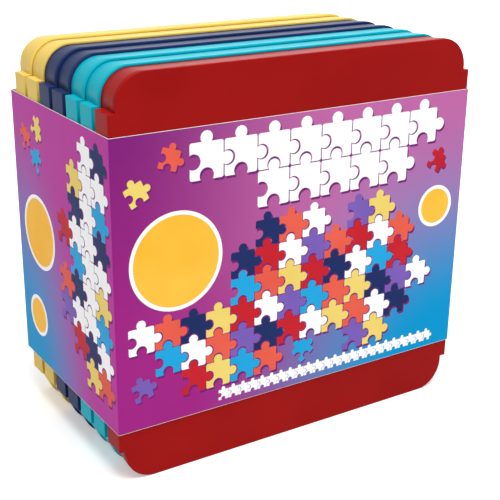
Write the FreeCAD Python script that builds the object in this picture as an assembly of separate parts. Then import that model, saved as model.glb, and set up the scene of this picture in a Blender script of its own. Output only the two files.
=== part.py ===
"""Stacked set of seven square sorting trays with a lid, held on edge by a printed board sleeve.

Each tray is drawn lying flat, with its rim plane at z = 0 and its floor below, and is then stood
on edge: its mouth faces the front, -Y, and the stack runs back along +Y. Millimetres, +Z up, with
the origin under the middle of the whole set.
"""
import FreeCAD, Part
import os

# Tray: one injection-moulded shell with leaning walls
tray_side = 260.0  # outside of the rim, wall to wall
corner_radius = 20.0  # outside of the rim
tray_pitch = 20.7  # how far each tray adds to the stack
nest_depth = 2.5  # straight band at the rim, where the floor of the next tray drops in
rim_thickness = 1.5  # what the stacking rebate leaves of the wall in that band
seat_ledge = 1.4  # step behind the rebate that carries the next tray
seat_clearance = 0.3  # between pieces that slide into each other
floor_thickness = 2.0
foot_edge = 0.4  # chamfer round the outside of the floor
cavity_edge = 2.0  # chamfer between floor and walls, inside

# Hook: a lip along two sides that drops over the plain wall of a neighbouring tray
hook_reach = 4.5  # how far it stands out from the rim
hook_depth = 16.0
hook_inset = 22.5  # from the corner of the rim's square to the end of the hook
hook_top = 1.8
hook_skirt = 1.5
hook_end = 1.8

# Lid: a plate over the rim and both hooks, with a locating skirt inside the mouth
lid_plate = 1.5
lid_edge = 0.8  # chamfer round the outer face
lid_skirt_depth = 9.0
lid_skirt_thickness = 1.5  # at its free edge

# Sleeve: a band of printed board round the middle of the stack
board_thickness = 0.5
sleeve_inset = 35.75  # how much of the trays shows above it, and below
sleeve_clearance = 0.3
fold_radius = 0.7  # inside of a fold
glue_flap = 18.0

# Contents of the front tray
sheet_count = 6
sheet_thickness = 0.35
sheet_margin = 22.0  # free floor on each side of a sheet
hanger_count = 2
hanger_width = 46.0
hanger_height = 30.0
hanger_thickness = 0.8
hanger_slot_height = 5.0
hanger_tooth = 5.0  # width and rise of the teeth along the slot
hanger_teeth = 5
hanger_spacing = 70.0

# Trays from the front of the stack to the back
tray_names = [
    "red_tray",
    "teal_tray_front",
    "teal_tray_back",
    "navy_tray_front",
    "navy_tray_back",
    "yellow_tray_front",
    "yellow_tray_back",
]

rim_half = tray_side / 2
wall_thickness = rim_thickness + seat_ledge
tray_height = tray_pitch + nest_depth
cavity_depth = tray_height - floor_thickness
# Below its rim band a wall leans in just enough for the floor to fit the rebate of the next tray
lean = (rim_thickness + seat_clearance) / (tray_pitch - nest_depth)
wall_foot = wall_thickness + lean * (cavity_depth - nest_depth)  # inside, at the floor

hook_half = rim_half + hook_reach
hook_length = tray_side - 2 * hook_inset

stack_depth = lid_plate + len(tray_names) * tray_pitch + nest_depth
sleeve_half = hook_half + sleeve_clearance + board_thickness
sleeve_height = tray_side - 2 * sleeve_inset
sleeve_front = -(sleeve_clearance + board_thickness)
sleeve_back = stack_depth + sleeve_clearance + 2 * board_thickness
middle_depth = (sleeve_front + sleeve_back) / 2

sheet_side = tray_side - 2 * (wall_foot + sheet_margin)

X_AXIS = FreeCAD.Vector(1, 0, 0)
UP = FreeCAD.Vector(0, 0, 1)
CENTRE = FreeCAD.Vector(0, 0, 0)
TOLERANCE = 1e-4  # when an edge is looked up by its place


def rounded_rectangle(half_x, half_y, radius, z):
    """Closed wire of a rectangle with round corners, centred on the Z axis."""
    inner_x = half_x - radius
    inner_y = half_y - radius
    arcs = []
    for sign_x, sign_y, start in ((1, 1, 0), (-1, 1, 90), (-1, -1, 180), (1, -1, 270)):
        middle = FreeCAD.Vector(sign_x * inner_x, sign_y * inner_y, z)
        arcs.append(Part.makeCircle(radius, middle, UP, start, start + 90))
    edges = []
    for arc, following in zip(arcs, arcs[1:] + arcs[:1]):
        edges.append(arc)
        edges.append(Part.makeLine(arc.Vertexes[-1].Point, following.Vertexes[0].Point))
    return Part.Wire(edges)


def tray_outline(inset, depth):
    """The wall's outline at a depth below the rim plane, moved in by inset.

    It is straight through the rim band and leans in below it. The lean takes as much off the
    corner radius as off the sides, so each corner is a cone.
    """
    shrink = inset + lean * max(0, depth - nest_depth)
    half = rim_half - shrink
    return rounded_rectangle(half, half, corner_radius - shrink, -depth)


def tray_block(inset, depth):
    """Solid within the wall's outline, moved in by inset, from the rim plane down to a depth."""
    outlines = [tray_outline(inset, level) for level in (depth, nest_depth, 0)]
    as_solid = True
    ruled = True
    return Part.makeLoft(outlines, as_solid, ruled)


def plain_block(inset, bottom, top):
    """Upright solid with round corners, inset from the rim's outline, between two heights."""
    half = rim_half - inset
    face = Part.Face(rounded_rectangle(half, half, corner_radius - inset, bottom))
    return face.extrude(UP * (top - bottom))


def centred_box(x_from, x_to, half_y, z_from, z_to):
    corner = FreeCAD.Vector(x_from, -half_y, z_from)
    return Part.makeBox(x_to - x_from, 2 * half_y, z_to - z_from, corner)


def edges_at(shape, z):
    """Edges that lie whole in the plane z."""
    found = []
    for edge in shape.Edges:
        box = edge.BoundBox
        if abs(box.ZMin - z) < TOLERANCE and abs(box.ZMax - z) < TOLERANCE:
            found.append(edge)
    return found


def hook():
    """Hook lip on the +X side, open downwards and closed at its ends, rooted in the wall."""
    root = rim_half - wall_thickness
    block = centred_box(root, hook_half, hook_length / 2, -hook_depth, 0)
    slot_side = hook_half - hook_skirt
    slot = centred_box(root, slot_side, hook_length / 2 - hook_end, -hook_depth, -hook_top)
    return block.cut(slot)


def tray():
    """One tray, lying flat with its rim plane at z = 0."""
    body = tray_block(0, tray_height)
    body = body.makeChamfer(foot_edge, edges_at(body, -tray_height))
    right_hook = hook()
    body = body.fuse([right_hook, right_hook.rotated(CENTRE, UP, 180)])
    cavity = tray_block(wall_thickness, cavity_depth)
    cavity = cavity.makeChamfer(cavity_edge, edges_at(cavity, -cavity_depth))
    rebate = plain_block(rim_thickness, -nest_depth, 0)
    return body.cut([cavity, rebate]).removeSplitter()


def lid():
    """The lid, lying flat with the underside of its plate on the rim plane."""
    plate = plain_block(0, 0, lid_plate)
    hook_cover = centred_box(-hook_half, hook_half, hook_length / 2, 0, lid_plate)
    plate = plate.fuse(hook_cover).removeSplitter()
    plate = plate.makeChamfer(lid_edge, edges_at(plate, lid_plate))
    outside = wall_thickness + seat_clearance
    free_edge = outside + lean * max(0, lid_skirt_depth - nest_depth)
    skirt = tray_block(outside, lid_skirt_depth)
    skirt = skirt.cut(plain_block(free_edge + lid_skirt_thickness, -lid_skirt_depth, 0))
    return plate.fuse(skirt).removeSplitter()


def stand(shape, rim_depth):
    """Stands a flat piece on edge, with its rim plane at a depth behind the lid's front face."""
    standing = shape.rotated(CENTRE, X_AXIS, 90)
    standing.translate(FreeCAD.Vector(0, rim_depth - middle_depth, rim_half))
    return standing


def sleeve():
    """The board band: one closed loop with its glue flap inside the back panel."""
    half_depth = (sleeve_back - sleeve_front) / 2
    inside_half = sleeve_half - board_thickness
    inside_depth = half_depth - board_thickness
    outer = rounded_rectangle(sleeve_half, half_depth, fold_radius + board_thickness, 0)
    inner = rounded_rectangle(inside_half, inside_depth, fold_radius, 0)
    loop = Part.Face(outer).cut(Part.Face(inner))
    flap_corner = FreeCAD.Vector(fold_radius - inside_half, inside_depth - board_thickness, 0)
    flap = Part.makePlane(glue_flap, board_thickness, flap_corner)
    rise = UP * sleeve_height
    band = loop.extrude(rise).fuse(flap.extrude(rise)).removeSplitter()
    band.translate(UP * sleeve_inset)
    return band


def adhesive_sheet(number):
    """A flat sheet on edge against the floor of the front tray, clear of the chamfer round it."""
    back = lid_plate + cavity_depth - (number - 1) * sheet_thickness
    low_edge = wall_foot + cavity_edge
    corner = FreeCAD.Vector(-sheet_side / 2, back - sheet_thickness - middle_depth, low_edge)
    return Part.makeBox(sheet_side, sheet_thickness, sheet_side, corner)


def hanger(number):
    """A self-adhesive picture hanger: a plate with a saw-toothed slot, flat on the sheets."""
    slot_half = hanger_tooth * hanger_teeth / 2
    slot_top = hanger_slot_height / 2
    plate = centred_box(-hanger_width / 2, hanger_width / 2, hanger_height / 2, 0, hanger_thickness)
    outline = [FreeCAD.Vector(slot_half, -slot_top, 0), FreeCAD.Vector(slot_half, slot_top, 0)]
    for tooth in range(hanger_teeth):
        valley = slot_half - tooth * hanger_tooth
        outline.append(FreeCAD.Vector(valley - hanger_tooth / 2, slot_top + hanger_tooth / 2, 0))
        outline.append(FreeCAD.Vector(valley - hanger_tooth, slot_top, 0))
    outline.append(FreeCAD.Vector(-slot_half, -slot_top, 0))
    slot = Part.Face(Part.makePolygon(outline + outline[:1])).extrude(UP * hanger_thickness)
    plate = plate.cut(slot).rotated(CENTRE, X_AXIS, 90)
    across = (number - (hanger_count + 1) / 2) * hanger_spacing
    back = lid_plate + cavity_depth - sheet_count * sheet_thickness
    height = wall_foot + seat_clearance + hanger_height / 2
    plate.translate(FreeCAD.Vector(across, back - middle_depth, height))
    return plate


def build():
    nodes = {"lid": stand(lid(), lid_plate), "sleeve": sleeve()}
    pattern = tray()
    for place, name in enumerate(tray_names):
        nodes[name] = stand(pattern, lid_plate + place * tray_pitch)
    for number in range(1, sheet_count + 1):
        nodes[f"adhesive_sheet_{number}"] = adhesive_sheet(number)
    for number in range(1, hanger_count + 1):
        nodes[f"hanger_{number}"] = hanger(number)
    return nodes


os.makedirs("parts", exist_ok=True)
for node_name, node_shape in build().items():
    node_shape.exportStep(f"parts/{node_name}.step")
    extent = node_shape.BoundBox
    print(
        f"{node_name}: valid {node_shape.isValid()}, {len(node_shape.Solids)} solid,"
        f" {node_shape.Volume:.0f} mm3, {extent.XLength:.1f} x {extent.YLength:.1f}"
        f" x {extent.ZLength:.1f} mm, from y {extent.YMin:.2f} and z {extent.ZMin:.2f}"
    )
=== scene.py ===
# %% [markdown]
# # A stack of sorting trays in a printed sleeve
#
# The object is a retail set for people who do jigsaw puzzles: seven square plastic trays nested in
# each other, a lid on the first one, and a band of printed board that holds the stack on its edge.
# This lesson gives that set its looks. The construction is already done in a CAD model, which is
# loaded first and whose shapes are never changed. Every piece made here takes its place from it.

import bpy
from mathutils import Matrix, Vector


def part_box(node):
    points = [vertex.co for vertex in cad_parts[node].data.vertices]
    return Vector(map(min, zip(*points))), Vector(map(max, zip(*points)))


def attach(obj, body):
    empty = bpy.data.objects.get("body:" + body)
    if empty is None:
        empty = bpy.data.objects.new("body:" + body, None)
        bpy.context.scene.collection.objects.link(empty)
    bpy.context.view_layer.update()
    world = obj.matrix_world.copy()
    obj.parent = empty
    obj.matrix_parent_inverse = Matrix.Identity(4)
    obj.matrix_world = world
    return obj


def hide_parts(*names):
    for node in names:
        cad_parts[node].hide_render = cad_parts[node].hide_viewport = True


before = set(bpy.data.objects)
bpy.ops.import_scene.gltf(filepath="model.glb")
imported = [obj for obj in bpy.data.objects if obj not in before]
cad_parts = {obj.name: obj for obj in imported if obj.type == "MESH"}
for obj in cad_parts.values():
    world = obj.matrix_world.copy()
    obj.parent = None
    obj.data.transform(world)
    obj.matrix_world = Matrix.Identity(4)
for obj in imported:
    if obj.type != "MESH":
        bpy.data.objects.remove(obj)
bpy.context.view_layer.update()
print("CAD nodes:", sorted(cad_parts))

# %% Modules and units
import math

import bmesh
import bpy
from mathutils import Quaternion, Vector

MM = 0.001
TOUCH = 0.01 * MM  # two places closer than this are the same place

# %% [markdown]
# ## Sizes
#
# The outside sizes are read from the CAD nodes, so that the pieces made here fit the same space.
# The wall, the lips and the board aren't boxes, so their few sizes are named here again.

# %% Sizes read from the frame
tray_low, tray_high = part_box("red_tray")
next_low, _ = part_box("teal_tray_front")
lid_low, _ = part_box("lid")
sleeve_low, sleeve_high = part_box("sleeve")

rim_half = (tray_high.z - tray_low.z) / 2
hook_half = tray_high.x
tray_height = tray_high.y - tray_low.y
tray_pitch = next_low.y - tray_low.y
nest_depth = tray_height - tray_pitch
lid_plate = tray_low.y - lid_low.y
stack_middle = Vector((0, 0, rim_half))
print("rim", rim_half / MM, "hook", hook_half / MM, "pitch", tray_pitch / MM, "nest", nest_depth / MM)

# %% Sizes of walls, lips and board
corner_radius = 20.0 * MM
rim_thickness = 1.5 * MM
seat_ledge = 1.4 * MM
seat_clearance = 0.3 * MM
floor_thickness = 2.0 * MM
foot_edge = 0.4 * MM
cavity_edge = 2.0 * MM
hook_depth = 16.0 * MM
hook_length = 215.0 * MM
hook_top = 1.8 * MM
hook_skirt = 1.5 * MM
hook_end = 1.8 * MM
lid_edge = 0.8 * MM
lid_skirt_depth = 9.0 * MM
board_thickness = 0.5 * MM
fold_radius = 1.2 * MM

wall_thickness = rim_thickness + seat_ledge
cavity_depth = tray_height - floor_thickness
lean = (rim_thickness + seat_clearance) / (tray_pitch - nest_depth)
print("wall", wall_thickness / MM, "cavity", cavity_depth / MM, "lean", lean)

# %% [markdown]
# ## The camera
#
# The set is photographed from its front left corner and a little above, with a lens that is about
# one and a half times as long as a normal one. The camera is placed first, because it decides what
# will show.

# %% Camera
camera_place = Vector((-377.9, -600.7, 375.7)) * MM
camera_heading = 32.69  # degrees, from +Y towards +X
camera_tilt = -20.66  # degrees from the horizon, negative where it looks down
camera_roll = 0.71  # degrees, about the line along which it looks
focal_length = 76.6  # millimetres
sensor_width = 36.0  # millimetres

camera_data = bpy.data.cameras.new("camera")
camera_data.lens = focal_length
camera_data.sensor_width = sensor_width
camera = bpy.data.objects.new("camera", camera_data)
bpy.context.scene.collection.objects.link(camera)
heading = math.radians(camera_heading)
tilt = math.radians(camera_tilt)
towards = Vector((
    math.sin(heading) * math.cos(tilt),
    math.cos(heading) * math.cos(tilt),
    math.sin(tilt),
))
camera.location = camera_place
camera.rotation_mode = "QUATERNION"
level_view = towards.to_track_quat("-Z", "Y")
camera.rotation_quaternion = level_view @ Quaternion((0, 0, 1), math.radians(camera_roll))
bpy.context.scene.camera = camera
print("camera looks along", towards)

# %% [markdown]
# ## Nodes and colours
#
# Colours are written as the eye sees them, in sRGB, and one function turns them to the linear
# values that the shaders count in. One more function adds a node, sets it and links it. The kinds
# of node that most finishes share get a short helper each, which returns the node's result.

# %% Helpers for materials
def linear(hex_colour):
    """Linear RGBA of an sRGB colour such as "9C1012", by the standard's own curve."""
    channels = []
    for start in (0, 2, 4):
        value = int(hex_colour[start:start + 2], 16) / 255
        channels.append(value / 12.92 if value <= 0.04045 else ((value + 0.055) / 1.055) ** 2.4)
    return (*channels, 1.0)


def add_node(tree, kind, settings=None, inputs=None):
    """Adds a node. An input is a value, or another node's output to link to."""
    node = tree.nodes.new(kind)
    for name, value in (settings or {}).items():
        setattr(node, name, value)
    for socket, value in (inputs or {}).items():
        if isinstance(value, bpy.types.NodeSocket):
            tree.links.new(value, node.inputs[socket])
        else:
            node.inputs[socket].default_value = value
    return node


def new_material(name):
    """An empty node material and its node tree."""
    material = bpy.data.materials.new(name)
    material.use_nodes = True
    material.node_tree.nodes.clear()
    return material, material.node_tree


def finish_material(tree, shader):
    """Links a shader to the material's output."""
    add_node(tree, "ShaderNodeOutputMaterial", inputs={"Surface": shader.outputs[0]})


# %% Helpers for the nodes that finishes share
def object_place(tree):
    """Where each point lies on its object, which doesn't change when the object moves."""
    return add_node(tree, "ShaderNodeTexCoord").outputs["Object"]


def noise(tree, place, size, detail):
    """A noise from 0 to 1, with features of about this size in millimetres."""
    texture = add_node(tree, "ShaderNodeTexNoise", inputs={
        "Vector": place, "Scale": 1 / (size * MM), "Detail": detail})
    return texture.outputs["Fac"]


def maths(tree, operation, first, second=None):
    """One arithmetic step on one or two values."""
    values = {0: first} if second is None else {0: first, 1: second}
    return add_node(tree, "ShaderNodeMath", {"operation": operation}, values).outputs[0]


def map_range(tree, value, start, end, to_start=0.0, to_end=1.0, kind="LINEAR"):
    """Turns a value between start and end to one between two others, and stops at both."""
    node = add_node(tree, "ShaderNodeMapRange", {"interpolation_type": kind}, {
        "Value": value, "From Min": start, "From Max": end, "To Min": to_start, "To Max": to_end})
    return node.outputs["Result"]


def mix_colours(tree, share, first, second):
    """The first colour where the share is 0, and the second one where it is 1."""
    node = add_node(tree, "ShaderNodeMix", {"data_type": "RGBA"}, {0: share, 6: first, 7: second})
    return node.outputs[2]


def bump(tree, height, strength, depth, under=None):
    """Relief with a depth in millimetres, which can lie over another relief."""
    inputs = {"Height": height, "Strength": strength, "Distance": depth * MM}
    if under is not None:
        inputs["Normal"] = under
    return add_node(tree, "ShaderNodeBump", inputs=inputs).outputs["Normal"]


# %% [markdown]
# ## Moulded plastic
#
# The trays and the lid are polypropylene, injection moulded in a polished tool. The colour is in
# the plastic, so it is even, with only the faint clouding of the pigment where the melt flowed.
# The surface is smooth but not optically flat: it has a very shallow waviness, which softens what
# it reflects. Soft light from all sides leaves no sharp highlight, so the shine is kept low.

# %% Material: moulded polypropylene
flow_cloud = 70.0  # millimetres, size of the clouds that the melt leaves
cloud_start = 0.35  # noise below this is all the first colour
cloud_end = 0.65  # noise above this is all the deeper one
surface_wave = 6.0  # millimetres, from one shallow wave of the moulding to the next
wave_depth = 0.05  # millimetres
fine_texture = 0.9  # millimetres, drawn as coarse as it needs to show
texture_depth = 0.01  # millimetres
smoothest = 0.26  # roughness where the texture is lowest
roughest = 0.36  # roughness where it is highest
plastic_shine = 0.03
polypropylene_ior = 1.49


def moulded_polypropylene(name, colour, deep_colour):
    """Even moulded plastic: its colour, and the slightly deeper one of the clouds."""
    material, tree = new_material(name)
    place = object_place(tree)
    cloud = noise(tree, place, flow_cloud, detail=2.0)
    cloud_share = map_range(tree, cloud, cloud_start, cloud_end)
    shade = mix_colours(tree, cloud_share, linear(colour), linear(deep_colour))
    wave = noise(tree, place, surface_wave, detail=1.0)
    grain = noise(tree, place, fine_texture, detail=2.0)
    roughness = map_range(tree, grain, 0.0, 1.0, smoothest, roughest)
    waves = bump(tree, wave, strength=0.25, depth=wave_depth)
    relief = bump(tree, grain, strength=0.15, depth=texture_depth, under=waves)
    plastic = add_node(tree, "ShaderNodeBsdfPrincipled", inputs={
        "Base Color": shade, "Roughness": roughness, "IOR": polypropylene_ior,
        "Specular IOR Level": plastic_shine, "Normal": relief})
    finish_material(tree, plastic)
    return material


red_plastic = moulded_polypropylene("moulded_red", "9E1614", "961211")
teal_plastic = moulded_polypropylene("moulded_teal", "14AFC1", "10A8BA")
navy_plastic = moulded_polypropylene("moulded_navy", "273660", "23315A")
yellow_plastic = moulded_polypropylene("moulded_yellow", "E7C765", "DFBE5A")
print("materials:", [material.name for material in bpy.data.materials])

# %% [markdown]
# ## Working on a mesh as by hand
#
# An operator acts on all that is selected, so each step here first deselects everything and then
# picks faces or edges by where they are or where they look. These helpers do that.

# %% Helpers for edit mode
def only(piece):
    """Selects one object and makes it the active one."""
    bpy.ops.object.select_all(action="DESELECT")
    piece.select_set(True)
    bpy.context.view_layer.objects.active = piece


def edit(piece):
    only(piece)
    bpy.ops.object.mode_set(mode="EDIT")


def leave_edit():
    bpy.ops.object.mode_set(mode="OBJECT")


def pick(kind, wanted):
    """Selects the faces or edges of the edited mesh for which wanted is true."""
    bpy.ops.mesh.select_mode(type=kind)
    bpy.ops.mesh.select_all(action="DESELECT")
    data = bpy.context.edit_object.data
    mesh = bmesh.from_edit_mesh(data)
    mesh.normal_update()
    for part in (mesh.faces if kind == "FACE" else mesh.edges):
        if wanted(part):
            part.select_set(True)
    mesh.select_flush_mode()
    bmesh.update_edit_mesh(data)


def at_height(part, z):
    """True for a face or an edge that lies whole at a height."""
    return all(abs(vert.co.z - z) < TOUCH for vert in part.verts)


def rises(edge, length):
    """True for an edge whose ends differ in height by more than a length."""
    return abs(edge.verts[0].co.z - edge.verts[1].co.z) > length


def extrude(vector):
    bpy.ops.mesh.extrude_region_move(TRANSFORM_OT_translate={"value": vector})


def recalculate_normals():
    """Turns every face outwards."""
    bpy.ops.mesh.select_all(action="SELECT")
    bpy.ops.mesh.normals_make_consistent(inside=False)


def dissolve_flat():
    """Takes out the points and edges inside faces that are flat."""
    bpy.ops.mesh.select_all(action="SELECT")
    bpy.ops.mesh.dissolve_limited(angle_limit=math.radians(1))


# %% Helpers for whole pieces
def apply_place(piece):
    """Puts a piece's place into its mesh, and its object at the origin."""
    only(piece)
    bpy.ops.object.transform_apply(location=True, rotation=True, scale=True)


def copy_of(piece, name):
    """A copy with a mesh of its own."""
    twin = piece.copy()
    twin.data = piece.data.copy()
    twin.name = name
    twin.data.name = name
    bpy.context.scene.collection.objects.link(twin)
    return twin


def merge(piece, other, operation="UNION"):
    """Fuses another solid into a piece, or cuts it out, and removes the other."""
    only(piece)
    modifier = piece.modifiers.new("merge", "BOOLEAN")
    modifier.operation = operation
    modifier.object = other
    modifier.solver = "EXACT"
    bpy.ops.object.modifier_apply(modifier=modifier.name)
    bpy.data.objects.remove(other)


def dress(piece, material):
    """Gives a piece one material and no other."""
    piece.data.materials.clear()
    piece.data.materials.append(material)


# %% [markdown]
# ## The rounded square that everything starts from
#
# Seen from its mouth, a tray is a square with round corners. A plane gives the square, and a bevel
# of its four corner points rounds it with true arcs. Inset then moves that outline inwards by an
# exact distance, and the arcs stay concentric, as the walls of a moulding do.

# %% A plane with round corners
corner_steps = 18


def rounded_square(name, half, radius):
    """A flat face at z = 0, centred on the Z axis."""
    bpy.ops.object.select_all(action="DESELECT")
    bpy.ops.mesh.primitive_plane_add(size=2 * half)
    piece = bpy.context.active_object
    piece.name = name
    edit(piece)
    bpy.ops.mesh.select_all(action="SELECT")
    bpy.ops.mesh.bevel(offset=radius, segments=corner_steps, affect="VERTICES")
    leave_edit()
    return piece


# %% [markdown]
# ## One tray
#
# A tray lies on the bench with its rim at z = 0. From the rounded square, the outside is walked down
# to the floor: a straight band at the rim, then a wall that leans in, which lets the part leave its
# mould and lets the trays nest. Then the inside is walked from the rim: the rebate where the next
# tray sits, its ledge, the leaning wall and the floor.

# %% The shell of a tray
rim_edge = 0.9 * MM  # rounding of the rim, which catches the light from above
rim_steps = 5
level_slope = 0.1  # a normal that rises or falls less than this counts as level


def outer_rim(edge):
    """True for the rim's outside edge: a face beside it looks level and away from the middle."""
    if not at_height(edge, 0):
        return False
    for face in edge.link_faces:
        outwards = face.calc_center_median()
        if abs(face.normal.z) < level_slope and face.normal.xy.dot(outwards.xy) > 0:
            return True
    return False


def tray_shell():
    """The tray without its lips."""
    shell = rounded_square("tray", rim_half, corner_radius)
    wall_depth = tray_height - nest_depth - foot_edge
    inside_depth = cavity_depth - nest_depth - cavity_edge
    edit(shell)
    bpy.ops.mesh.select_all(action="SELECT")
    extrude((0, 0, -nest_depth))
    recalculate_normals()
    pick("FACE", lambda face: at_height(face, -nest_depth))
    bpy.ops.mesh.inset(thickness=lean * wall_depth, depth=wall_depth)
    bpy.ops.mesh.inset(thickness=foot_edge, depth=foot_edge)
    pick("FACE", lambda face: at_height(face, 0))
    bpy.ops.mesh.inset(thickness=rim_thickness, depth=0)
    extrude((0, 0, -nest_depth))
    bpy.ops.mesh.inset(thickness=seat_ledge, depth=0)
    bpy.ops.mesh.inset(thickness=lean * inside_depth, depth=-inside_depth)
    bpy.ops.mesh.inset(thickness=cavity_edge, depth=-cavity_edge)
    recalculate_normals()
    pick("EDGE", outer_rim)
    bpy.ops.mesh.bevel(offset=rim_edge, segments=rim_steps, affect="EDGES")
    leave_edit()
    return shell


# %% [markdown]
# ## The hook lips
#
# Along two sides runs a lip that drops over the plain wall of a neighbouring tray. It is a channel:
# a top, a skirt and two closed ends. A box gives the outside, its edges are rounded, and its
# underside is inset and pushed up to open the channel. A union then makes it one with the wall.

# %% A hook lip
root_overlap = 1.2 * MM  # how far the box starts inside the wall, so that the union has no gap
root_margin = 0.1 * MM  # what the slot leaves of the box there
hook_root = rim_half - root_overlap
hook_rounding = 0.4 * MM
hook_steps = 3


def slot_mouth(face):
    """True for the wide face of the underside, which the slot is pushed up from."""
    return at_height(face, -hook_depth) and face.calc_area() > hook_skirt * hook_length


def hook_lip():
    """The lip on the +X side of a tray that lies flat."""
    length_x = hook_half - hook_root
    bpy.ops.object.select_all(action="DESELECT")
    bpy.ops.mesh.primitive_cube_add(size=1)
    lip = bpy.context.active_object
    lip.scale = (length_x, hook_length, hook_depth)
    lip.location = ((hook_root + hook_half) / 2, 0, -hook_depth / 2)
    apply_place(lip)
    edit(lip)
    pick("EDGE", lambda edge: any(vert.co.x > hook_half - TOUCH for vert in edge.verts))
    bpy.ops.mesh.bevel(offset=hook_rounding, segments=hook_steps, affect="EDGES")
    pick("FACE", lambda face: at_height(face, -hook_depth))
    shoulder = hook_skirt - hook_rounding
    bpy.ops.mesh.inset(thickness=shoulder, depth=0)
    slot_end = hook_length / 2 - hook_rounding - shoulder
    stretch = (hook_length / 2 - hook_end) / slot_end
    bpy.ops.transform.resize(value=(1, stretch, 1), center_override=(0, 0, -hook_depth))
    root_side = hook_root + shoulder
    pick("EDGE", lambda edge: at_height(edge, -hook_depth) and all(
        abs(vert.co.x - root_side) < TOUCH for vert in edge.verts))
    bpy.ops.transform.translate(value=(root_margin - shoulder, 0, 0))
    pick("FACE", slot_mouth)
    extrude((0, 0, hook_depth - hook_top))
    recalculate_normals()
    leave_edit()
    return lip


# %% The tray that all seven are copied from
smooth_angle = math.radians(35)


def soften(piece):
    """Smooth shading that keeps the flat faces flat."""
    only(piece)
    bpy.ops.object.shade_smooth_by_angle(angle=smooth_angle)
    modifier = piece.modifiers.new("flat faces", "WEIGHTED_NORMAL")
    modifier.keep_sharp = True
    bpy.ops.object.modifier_apply(modifier=modifier.name)


def finished_tray():
    tray = tray_shell()
    for turn in (0, math.pi):
        lip = hook_lip()
        lip.rotation_euler.z = turn
        apply_place(lip)
        merge(tray, lip)
    edit(tray)
    pick("EDGE", lambda edge: at_height(edge, -nest_depth))
    bpy.ops.mesh.mark_sharp()
    leave_edit()
    soften(tray)
    return tray


def stand_up(piece, rim_depth):
    """Turns a piece that lies flat onto its edge, with its rim at a depth along Y."""
    piece.rotation_euler.x = math.radians(90)
    piece.location = stack_middle + Vector((0, rim_depth, 0))
    apply_place(piece)


tray_pattern = finished_tray()
print("tray faces:", len(tray_pattern.data.polygons))

# %% Seven trays in the stack
tray_colours = {
    "red_tray": red_plastic,
    "teal_tray_front": teal_plastic,
    "teal_tray_back": teal_plastic,
    "navy_tray_front": navy_plastic,
    "navy_tray_back": navy_plastic,
    "yellow_tray_front": yellow_plastic,
    "yellow_tray_back": yellow_plastic,
}

for node, plastic in tray_colours.items():
    tray = copy_of(tray_pattern, "moulded_" + node)
    low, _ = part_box(node)
    stand_up(tray, low.y)
    dress(tray, plastic)
    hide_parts(node)
    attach(tray, "root")
    print(node, "from y", round(low.y / MM, 2))
bpy.data.objects.remove(tray_pattern)

# %% [markdown]
# ## The lid
#
# The lid is a plate with the tray's outline and two straight ears over its hooks. The ears are drawn
# out of the outline's two hook sides, and the front edge is rounded as on the real moulding. A
# locating skirt hangs from its underside, with its root sunk in the plate, so that the union has
# no gap.

# %% The lid
lid_edge_steps = 4


def ear_edge(side):
    """A test for the edge on one side that an ear is drawn out of."""
    def wanted(edge):
        middle = (edge.verts[0].co + edge.verts[1].co) / 2
        return abs(middle.x - side * rim_half) < TOUCH and abs(middle.y) < hook_length / 2
    return wanted


def lid_plate_piece():
    plate = rounded_square("lid", rim_half, corner_radius)
    edit(plate)
    for side in (-1, 1):
        bpy.ops.mesh.select_all(action="SELECT")
        bpy.ops.mesh.bisect(plane_co=(0, side * hook_length / 2, 0), plane_no=(0, 1, 0))
    for side in (-1, 1):
        pick("EDGE", ear_edge(side))
        extrude((side * (hook_half - rim_half), 0, 0))
    bpy.ops.mesh.select_all(action="SELECT")
    bpy.ops.mesh.remove_doubles(threshold=TOUCH)
    dissolve_flat()
    bpy.ops.mesh.select_all(action="SELECT")
    extrude((0, 0, lid_plate))
    recalculate_normals()
    pick("EDGE", lambda edge: at_height(edge, lid_plate))
    bpy.ops.mesh.bevel(offset=lid_edge, segments=lid_edge_steps, affect="EDGES")
    leave_edit()
    return plate


def lid_skirt():
    inset = wall_thickness + seat_clearance
    skirt = rounded_square("skirt", rim_half - inset, corner_radius - inset)
    edit(skirt)
    bpy.ops.mesh.select_all(action="SELECT")
    extrude((0, 0, -nest_depth))
    recalculate_normals()
    pick("FACE", lambda face: at_height(face, -nest_depth))
    leaning = lid_skirt_depth - nest_depth
    bpy.ops.mesh.inset(thickness=lean * leaning, depth=leaning)
    bpy.ops.mesh.inset(thickness=rim_thickness, depth=0)
    extrude((0, 0, lid_skirt_depth - lid_plate))
    recalculate_normals()
    leave_edit()
    return skirt


lid = lid_plate_piece()
skirt = lid_skirt()
skirt.location.z = lid_plate / 2
apply_place(skirt)
merge(lid, skirt)
soften(lid)
stand_up(lid, tray_low.y)
dress(lid, red_plastic)
lid.name = "moulded_lid"
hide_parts("lid")
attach(lid, "root")
print("lid faces:", len(lid.data.polygons))

# %% [markdown]
# ## Print on board
#
# The sleeve is folding box board, printed offset and varnished. The varnish lies over every colour
# and has the faint unevenness of the board under it. A printed tint is never quite even either: it
# drifts a little, so each ink has a second colour close to its first.

# %% Material: ink under varnish
fibre_size = 1.2  # millimetres, the clumps of fibre that show through the coating
fibre_depth = 0.01  # millimetres
board_wave = 40.0  # millimetres, from one slight wave of the board to the next
board_wave_depth = 0.3  # millimetres
varnish_shine = 0.02
varnish_smoothest = 0.3  # roughness where the fibres are lowest
varnish_roughest = 0.42
varnish_ior = 1.5
ink_drift = 30.0  # millimetres, over which a tint goes to its second colour


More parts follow.
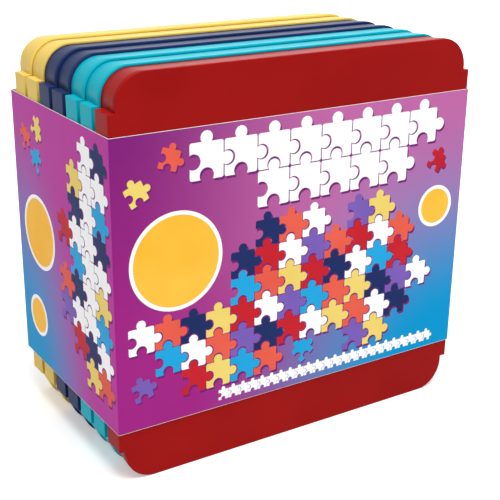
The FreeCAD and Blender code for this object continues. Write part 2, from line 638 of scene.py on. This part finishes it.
def coated_board(tree, place, colour):
    """The varnish over any printed colour."""
    fibre = noise(tree, place, fibre_size, detail=3.0)
    wave = noise(tree, place, board_wave, detail=1.0)
    waves = bump(tree, wave, strength=0.3, depth=board_wave_depth)
    relief = bump(tree, fibre, strength=0.1, depth=fibre_depth, under=waves)
    roughness = map_range(tree, fibre, 0.0, 1.0, varnish_smoothest, varnish_roughest)
    return add_node(tree, "ShaderNodeBsdfPrincipled", inputs={
        "Base Color": colour, "Roughness": roughness, "IOR": varnish_ior,
        "Specular IOR Level": varnish_shine, "Normal": relief})


def ink(name, colour, second_colour):
    """One printed colour, with a second one that it drifts to, as a printed tint does."""
    material, tree = new_material(name)
    place = object_place(tree)
    drift = noise(tree, place, ink_drift, detail=1.0)
    shade = mix_colours(tree, drift, linear(colour), linear(second_colour))
    finish_material(tree, coated_board(tree, place, shade))
    return material


# %% [markdown]
# ## The ground of the print
#
# The ground of the front runs from purple at the upper left through magenta to lilac at the upper
# right, and the left panel is one magenta. A pool of blue lies over both, at the foot of two
# opposite corners: its distance is counted round the band, so it carries on over the folds. Along
# its cut edges the board has lost a hair of print and shows white.

# %% Material: varnished printed board
magenta = linear("A02884")
purple = linear("802378")
lilac = linear("BE68A4")
panel_magenta = linear("B93D9E")
pool_blue = linear("0895CE")
board_white = linear("F4F0EC")
purple_from = 100.0 * MM  # above this height the left of the front turns to purple
lilac_from = 50.0 * MM  # above this height the right of the front turns to lilac
lilac_to = 150.0 * MM
lilac_reach = 170.0 * MM  # from the left fold to where the right's colours have taken over
panel_limit = fold_radius / 4  # the left panel's colour ends this far into the fold
pool_core = 60.0 * MM  # all blue within this distance of the corner
pool_edge = 225.0 * MM
cut_burr = 0.13 * MM  # width of the white along a cut edge


def pool_distance(tree, axes):
    """Distance from the foot of the corner where the nearer pool of blue starts."""
    width = sleeve_high.x - sleeve_low.x
    depth = sleeve_high.y - sleeve_low.y
    stretch = maths(tree, "MULTIPLY", axes.outputs["Y"], width / depth)
    across = maths(tree, "SUBTRACT", axes.outputs["X"], stretch)
    spread = maths(tree, "ABSOLUTE", across)
    around = maths(tree, "SUBTRACT", width, spread)
    pool = add_node(tree, "ShaderNodeCombineXYZ", inputs={"X": around, "Y": axes.outputs["Z"]})
    distance = add_node(tree, "ShaderNodeVectorMath", {"operation": "LENGTH"}, {
        0: pool.outputs[0]})
    return distance.outputs["Value"]


def ground_colour(tree, axes):
    """The print without its blue."""
    purple_share = map_range(tree, axes.outputs["Z"], purple_from, sleeve_high.z)
    left_shade = mix_colours(tree, purple_share, magenta, purple)
    lilac_share = map_range(tree, axes.outputs["Z"], lilac_from, lilac_to, kind="SMOOTHSTEP")
    right_shade = mix_colours(tree, lilac_share, magenta, lilac)
    from_left = map_range(
        tree, axes.outputs["X"], sleeve_low.x, sleeve_low.x + lilac_reach, kind="SMOOTHSTEP")
    front_shade = mix_colours(tree, from_left, left_shade, right_shade)
    on_left_panel = maths(tree, "LESS_THAN", axes.outputs["X"], sleeve_low.x + panel_limit)
    return mix_colours(tree, on_left_panel, front_shade, panel_magenta)


def burr_share(tree, axes):
    """1 along the two cut edges, where the white board shows."""
    middle = (sleeve_high.z + sleeve_low.z) / 2
    half_height = sleeve_high.z - middle
    from_middle = maths(tree, "SUBTRACT", axes.outputs["Z"], middle)
    off_middle = maths(tree, "ABSOLUTE", from_middle)
    return map_range(tree, off_middle, half_height - 2 * cut_burr, half_height - cut_burr)


def printed_board():
    material, tree = new_material("varnished_print")
    place = object_place(tree)
    axes = add_node(tree, "ShaderNodeSeparateXYZ", inputs={"Vector": place})
    distance = pool_distance(tree, axes)
    ground = ground_colour(tree, axes)
    blue_share = map_range(tree, distance, pool_edge, pool_core, kind="SMOOTHSTEP")
    colour = mix_colours(tree, blue_share, ground, pool_blue)
    worn = mix_colours(tree, burr_share(tree, axes), colour, board_white)
    finish_material(tree, coated_board(tree, place, worn))
    return material


print_ground = printed_board()
print("made", print_ground.name)

# %% [markdown]
# ## The board itself
#
# Where it is cut, and inside the band, the board is bare: uncoated white pulp, quite rough.

# %% Material: bare board
board_shade = linear("E2DCD6")
pulp_depth = 0.03  # millimetres
pulp_roughness = 0.85


def bare_board():
    material, tree = new_material("bare_white_board")
    place = object_place(tree)
    fibre = noise(tree, place, fibre_size, detail=4.0)
    shade = mix_colours(tree, fibre, board_white, board_shade)
    relief = bump(tree, fibre, strength=0.4, depth=pulp_depth)
    pulp = add_node(tree, "ShaderNodeBsdfPrincipled", inputs={
        "Base Color": shade, "Roughness": pulp_roughness, "Normal": relief})
    finish_material(tree, pulp)
    return material


raw_board = bare_board()
print("made", raw_board.name)

# %% The band
print_thickness = 0.06 * MM  # ink and varnish, which lie within the CAD model's box
fold_steps = 6
end_slope = 0.9  # a normal that rises or falls more than this is that of an end


def board_band():
    """A box without its two ends, its upright edges rounded to folds, and a wall all round."""
    size = sleeve_high - sleeve_low
    bpy.ops.object.select_all(action="DESELECT")
    bpy.ops.mesh.primitive_cube_add(size=1)
    band = bpy.context.active_object
    band.name = "printed_sleeve"
    band.scale = (size.x - 2 * print_thickness, size.y - 2 * print_thickness, size.z)
    band.location = (sleeve_high + sleeve_low) / 2
    apply_place(band)
    edit(band)
    pick("FACE", lambda face: abs(face.normal.z) > end_slope)
    bpy.ops.mesh.delete(type="ONLY_FACE")
    pick("EDGE", lambda edge: rises(edge, board_thickness))
    bpy.ops.mesh.bevel(offset=fold_radius, segments=fold_steps, affect="EDGES")
    leave_edit()
    band.data.materials.append(print_ground)
    band.data.materials.append(raw_board)
    wall = band.modifiers.new("board", "SOLIDIFY")
    wall.thickness = board_thickness - print_thickness
    wall.offset = -1
    wall.material_offset = 1
    wall.material_offset_rim = 1
    only(band)
    bpy.ops.object.modifier_apply(modifier=wall.name)
    soften(band)
    return band


sleeve = board_band()
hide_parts("sleeve")
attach(sleeve, "root")
print("sleeve faces:", len(sleeve.data.polygons))

# %% [markdown]
# ## A jigsaw piece
#
# The print's motif is the plain jigsaw piece: a square with a round knob on two sides and a matching
# hollow in the other two. Discs are fused to the square for the knobs and cut out for the hollows,
# a little larger, so that pieces laid side by side show the line of the cut.

# %% The piece that the print repeats
print_layers = 5  # shade, pieces, white pieces, and the two colours of a disc
layer = print_thickness / print_layers
piece_size = 24.0 * MM
piece_rounding = 0.06 * piece_size
piece_steps = 4  # in the rounding of a corner
knob_radius = 0.19 * piece_size
knob_reach = 0.12 * piece_size  # from the side to the middle of a knob
knob_steps = 28
cut_line = 0.35 * MM  # half of the gap between two pieces


def disc(x, y, radius, low, high, steps):
    """A round slab between two heights."""
    bpy.ops.object.select_all(action="DESELECT")
    bpy.ops.mesh.primitive_cylinder_add(
        vertices=steps, radius=radius, depth=high - low, location=(x, y, (low + high) / 2))
    round_piece = bpy.context.active_object
    apply_place(round_piece)
    return round_piece


def jigsaw_piece():
    """A flat piece centred on the Z axis, one layer thick, with its knobs to +X and +Y."""
    half = piece_size / 2 - cut_line
    bpy.ops.object.select_all(action="DESELECT")
    bpy.ops.mesh.primitive_cube_add(size=1)
    piece = bpy.context.active_object
    piece.name = "jigsaw_piece"
    piece.scale = (2 * half, 2 * half, layer)
    piece.location.z = layer / 2
    apply_place(piece)
    edit(piece)
    pick("EDGE", lambda edge: rises(edge, layer / 2))
    bpy.ops.mesh.bevel(offset=piece_rounding, segments=piece_steps, affect="EDGES")
    leave_edit()
    outward = half + knob_reach - cut_line
    for x, y in ((outward, 0), (0, outward)):
        knob = disc(x, y, knob_radius - cut_line, 0, layer, knob_steps)
        merge(piece, knob)
    inward = knob_reach - piece_size / 2
    for x, y in ((inward, 0), (0, inward)):
        hollow = disc(x, y, knob_radius + cut_line, -layer, 2 * layer, knob_steps)
        merge(piece, hollow, "DIFFERENCE")
    edit(piece)
    dissolve_flat()
    leave_edit()
    return piece


piece_pattern = jigsaw_piece()
print("jigsaw piece faces:", len(piece_pattern.data.polygons))

# %% [markdown]
# ## Placing print on a panel
#
# Each printed shape is laid flat first, with its middle at a place on the panel, then stood against
# the front or the left panel. A level lifts it off the panel by so many layers, so that what lies
# over something else shows. Shapes of one ink are joined, so that each ink is one object.

# %% Helpers for the print
front_plane = sleeve_low.y + print_thickness
left_plane = sleeve_low.x + print_thickness
prints = {}


def against_front(shape, level):
    """Flat x and y become the front panel's x and z."""
    shape.rotation_euler = (math.radians(90), 0, 0)
    shape.location = (0, front_plane - level * layer, 0)
    apply_place(shape)


def against_left(shape, level):
    """Flat x and y become the left panel's depth and height, with x running to the front."""
    shape.rotation_euler = (math.radians(90), 0, math.radians(-90))
    shape.location = (left_plane - level * layer, 0, 0)
    apply_place(shape)


def lay(shape, x, y, turn=0.0, size=1.0):
    """Turns and scales a flat shape about its middle and moves it to a place, in millimetres."""
    shape.rotation_euler = (0, 0, math.radians(turn))
    shape.scale = (size, size, 1)
    shape.location = (x * MM, y * MM, 0)
    apply_place(shape)
    return shape


def keep(shape, name):
    """Puts a shape with the others of its ink, for the join at the end."""
    prints.setdefault(name, []).append(shape)


def print_piece(ink_name, panel, x, y, turn=0.0, size=1.0, level=1):
    """One jigsaw piece on a panel, at a place in millimetres."""
    shape = lay(copy_of(piece_pattern, "print"), x, y, turn, size)
    panel(shape, level)
    keep(shape, ink_name)


def shaded_piece(ink_name, panel, x, y, shift, turn=0.0, size=1.0, level=1):
    """A piece over its own shade, which is shifted by some millimetres."""
    print_piece("shade", panel, x + shift.x, y + shift.y, turn, size, level=0)
    print_piece(ink_name, panel, x, y, turn, size, level)


# %% [markdown]
# ## What is printed
#
# The print is a plain play on the jigsaw: large white pieces with a shade under them, patches of
# small coloured pieces with ragged edges as in a half-finished puzzle, a few loose ones, a border
# of tiny white ones, and yellow discs with white rims.

# %% Inks
inks = {
    "white": ink("ink_white", "FFFFFF", "FBFAFC"),
    "shade": ink("ink_shade", "6A2168", "7A2A78"),
    "red": ink("ink_red", "CE2A34", "BA202C"),
    "coral": ink("ink_coral", "EC6852", "E05546"),
    "navy": ink("ink_navy", "26356A", "1E2C5C"),
    "sky": ink("ink_sky", "1E9FDA", "2AABE2"),
    "straw": ink("ink_straw", "F4DC7C", "EACD66"),
    "violet": ink("ink_violet", "8265BC", "7358AE"),
    "amber": ink("ink_amber", "FFCA4E", "FFB632"),
}
print("inks:", list(inks))

# %% Large white pieces across the top of the front
shade_shift = Vector((1.0, -1.6))  # millimetres, to the right and down
white_rows = {203: range(-3, 5), 179: range(-1, 4)}  # height of a row, and the columns it fills
for height, columns in white_rows.items():
    for column in columns:
        x = column * piece_size / MM
        shaded_piece("white", against_front, x, height, shade_shift, level=2)
print("white pieces:", len(prints["white"]))

# %% Patches of coloured pieces
small_piece = 18.0  # millimetres
letters = {
    "r": "red", "c": "coral", "w": "white", "v": "violet", "n": "navy", "s": "sky", "y": "straw",
}


def print_patch(panel, left, top, rows):
    """Rows of small pieces, a letter each for their ink and a dot for a gap."""
    size = small_piece * MM / piece_size
    for row, line in enumerate(rows):
        for column, letter in enumerate(line):
            if letter == ".":
                continue
            x = left + column * small_piece
            y = top - row * small_piece
            shaded_piece(letters[letter], panel, x, y, shade_shift, size=size)


front_patch = [
    ".....ncw.vy..",
    "....nrwvcrwc.",
    "....scyrnwsr.",
    "wcnyrwvscynvw",
    ".swcvnrwycwn.",
    "..rysc...vy..",
]
left_patch = [
    "..wn",
    ".yww",
    ".nws",
    "rwwn",
    ".sww",
    "cnwy",
    "vwws",
    ".rnw",
    "..yc",
]
print_patch(against_front, left=-118.0, top=150.0, rows=front_patch)
print_patch(against_left, left=4.0, top=204.0, rows=left_patch)
print("pieces of each ink:", {name: len(shapes) for name, shapes in prints.items()})

# %% Loose pieces
loose_size = 0.55  # of a large piece
loose_shift = Vector((0.8, -1.2))  # millimetres, less than for the larger pieces
# Each has its ink, its panel, its place across and up in millimetres, and its turn in degrees
loose_pieces = [
    ("straw", against_front, -119, 189, 25),
    ("coral", against_front, -97, 207, -18),
    ("sky", against_front, 2, 60, 40),
    ("red", against_front, 110, 177, -30),
    ("violet", against_front, -118, 62, 15),
    ("coral", against_left, -54, 196, 20),
    ("straw", against_left, -34, 206, -35),
    ("sky", against_left, -36, 184, 60),
]
for name, panel, x, height, turn in loose_pieces:
    shaded_piece(name, panel, x, height, loose_shift, turn, loose_size)
print("loose pieces:", len(loose_pieces))

# %% A border of tiny white pieces
border_pitch = 7.5  # millimetres
border_left = -60.0  # millimetres, middle of the first piece
border_height = 44.0  # millimetres
border_count = 24
for step in range(border_count):
    print_piece(
        "white", against_front, border_left + step * border_pitch, border_height,
        size=border_pitch * MM / piece_size)
print("white pieces with the border:", len(prints["white"]))

# %% Discs
disc_rim = 2.6  # millimetres of white round the yellow
disc_steps = 96


def print_disc(panel, x, height, radius):
    """A yellow disc on a slightly larger white one, with sizes in millimetres."""
    for name, reach, level in (("white", radius, 3), ("amber", radius - disc_rim, 4)):
        shape = disc(x * MM, height * MM, reach * MM, 0, layer, disc_steps)
        panel(shape, level)
        keep(shape, name)


print_disc(against_front, x=-93.0, height=143.0, radius=32.0)
print_disc(against_front, x=112.0, height=144.0, radius=15.0)
print_disc(against_left, x=-38.0, height=134.0, radius=26.0)
print_disc(against_left, x=-48.0, height=70.0, radius=15.0)
print("discs:", len(prints["amber"]))

# %% Join each ink to one object
for name, shapes in prints.items():
    bpy.ops.object.select_all(action="DESELECT")
    for shape in shapes:
        shape.select_set(True)
    bpy.context.view_layer.objects.active = shapes[0]
    bpy.ops.object.join()
    sheet = bpy.context.active_object
    sheet.name = "print_" + name
    dress(sheet, inks[name])
    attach(sheet, "root")
    print(sheet.name, "faces:", len(sheet.data.polygons))
bpy.data.objects.remove(piece_pattern)

# %% [markdown]
# ## What lies inside
#
# The adhesive sheets and the hangers are shut in the front tray. Their CAD shapes are right as they
# are, so they only get their finishes.

# %% Materials: adhesive film and hanger plastic
film_mottle = 8.0  # millimetres, size of the milky patches in the film
film_roughness = 0.35
film_ior = 1.47
hanger_grain = 0.6  # millimetres
hanger_grain_depth = 0.02  # millimetres
hanger_roughness = 0.45
polystyrene_ior = 1.59


def adhesive_film():
    material, tree = new_material("milky_adhesive_film")
    place = object_place(tree)
    mottle = noise(tree, place, film_mottle, detail=2.0)
    shade = mix_colours(tree, mottle, linear("F3F1EA"), linear("E9E6DC"))
    film = add_node(tree, "ShaderNodeBsdfPrincipled", inputs={
        "Base Color": shade, "Roughness": film_roughness, "IOR": film_ior})
    finish_material(tree, film)
    return material


def hanger_plastic():
    material, tree = new_material("white_polystyrene")
    place = object_place(tree)
    grain = noise(tree, place, hanger_grain, detail=2.0)
    relief = bump(tree, grain, strength=0.2, depth=hanger_grain_depth)
    plastic = add_node(tree, "ShaderNodeBsdfPrincipled", inputs={
        "Base Color": linear("EFEFEC"), "Roughness": hanger_roughness, "IOR": polystyrene_ior,
        "Normal": relief})
    finish_material(tree, plastic)
    return material


milky_film = adhesive_film()
white_polystyrene = hanger_plastic()
for name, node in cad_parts.items():
    if name.startswith("adhesive_sheet"):
        dress(node, milky_film)
    elif name.startswith("hanger"):
        dress(node, white_polystyrene)
print("made", milky_film.name, "and", white_polystyrene.name)

# %% [markdown]
# ## Floor and light
#
# The set stands on a white sweep. The floor is a plain matt white that takes the shadow, and it
# glows a little for the camera and for reflections only, so that it reads as white without more
# light on the object. The glow grows with the distance, where the lamps no longer reach. The world
# round it does the same: it looks white, and sends a weaker light from all sides. Three soft lamps
# hang above the front, at the upper left and behind.

# %% The floor
floor_size = 14.0  # metres
floor_white = linear("F2F2F2")
near_glow = 0.35
near_distance = 0.35  # metres from the middle, within which the glow is the weakest
far_glow = 1.0
far_distance = 1.2  # metres from the middle, from where on it is the strongest


def seen(tree):
    """1 for rays from the camera, also by way of a reflection or through something clear."""
    rays = add_node(tree, "ShaderNodeLightPath")
    direct = maths(tree, "MAXIMUM", rays.outputs["Is Camera Ray"], rays.outputs["Is Glossy Ray"])
    return maths(tree, "MAXIMUM", direct, rays.outputs["Is Transmission Ray"])


def white_floor():
    material, tree = new_material("white_sweep")
    place = object_place(tree)
    away = add_node(tree, "ShaderNodeVectorMath", {"operation": "LENGTH"}, {0: place})
    amount = map_range(
        tree, away.outputs["Value"], near_distance, far_distance, near_glow, far_glow,
        kind="SMOOTHSTEP")
    glow = maths(tree, "MULTIPLY", seen(tree), amount)
    matt = add_node(tree, "ShaderNodeBsdfDiffuse", inputs={"Color": floor_white})
    light = add_node(tree, "ShaderNodeEmission", inputs={"Strength": glow})
    both = add_node(tree, "ShaderNodeAddShader", inputs={
        0: matt.outputs[0], 1: light.outputs[0]})
    finish_material(tree, both)
    return material


bpy.ops.object.select_all(action="DESELECT")
bpy.ops.mesh.primitive_plane_add(size=floor_size)
floor = bpy.context.active_object
floor.name = "floor"
dress(floor, white_floor())
print("floor", floor_size, "m wide")

# %% The world
world_fill = 0.42  # strength of the light that it sends
world_white = 1.0  # strength with which it is seen


def studio_world():
    world = bpy.data.worlds.new("white studio")
    world.use_nodes = True
    tree = world.node_tree
    tree.nodes.clear()
    white = linear("FFFFFF")
    share = seen(tree)
    fill = add_node(tree, "ShaderNodeBackground", inputs={"Color": white, "Strength": world_fill})
    backdrop = add_node(tree, "ShaderNodeBackground", inputs={
        "Color": white, "Strength": world_white})
    chosen = add_node(tree, "ShaderNodeMixShader", inputs={
        0: share, 1: fill.outputs[0], 2: backdrop.outputs[0]})
    add_node(tree, "ShaderNodeOutputWorld", inputs={"Surface": chosen.outputs[0]})
    return world


bpy.context.scene.world = studio_world()
print("world fill", world_fill)

# %% Soft lamps
def softbox(name, place, size, power):
    """A square area lamp aimed at the middle of the set. The camera doesn't see it.

    Its place and size are in metres, and its power is in watts.
    """
    data = bpy.data.lights.new(name, "AREA")
    data.shape = "SQUARE"
    data.size = size
    data.energy = power
    lamp = bpy.data.objects.new(name, data)
    lamp.location = place
    lamp.rotation_mode = "QUATERNION"
    lamp.rotation_quaternion = (stack_middle - Vector(place)).to_track_quat("-Z", "Y")
    lamp.visible_camera = False
    bpy.context.scene.collection.objects.link(lamp)
    print(name, power, "W")


softbox("front overhead softbox", place=(-0.1, -0.75, 2.1), size=1.2, power=43)
softbox("upper left softbox", place=(-1.43, -0.33, 1.78), size=1.0, power=2.5)
softbox("rear softbox", place=(1.05, 1.3, 1.15), size=1.2, power=9)

# %% Colour management
bpy.context.scene.view_settings.view_transform = "Standard"
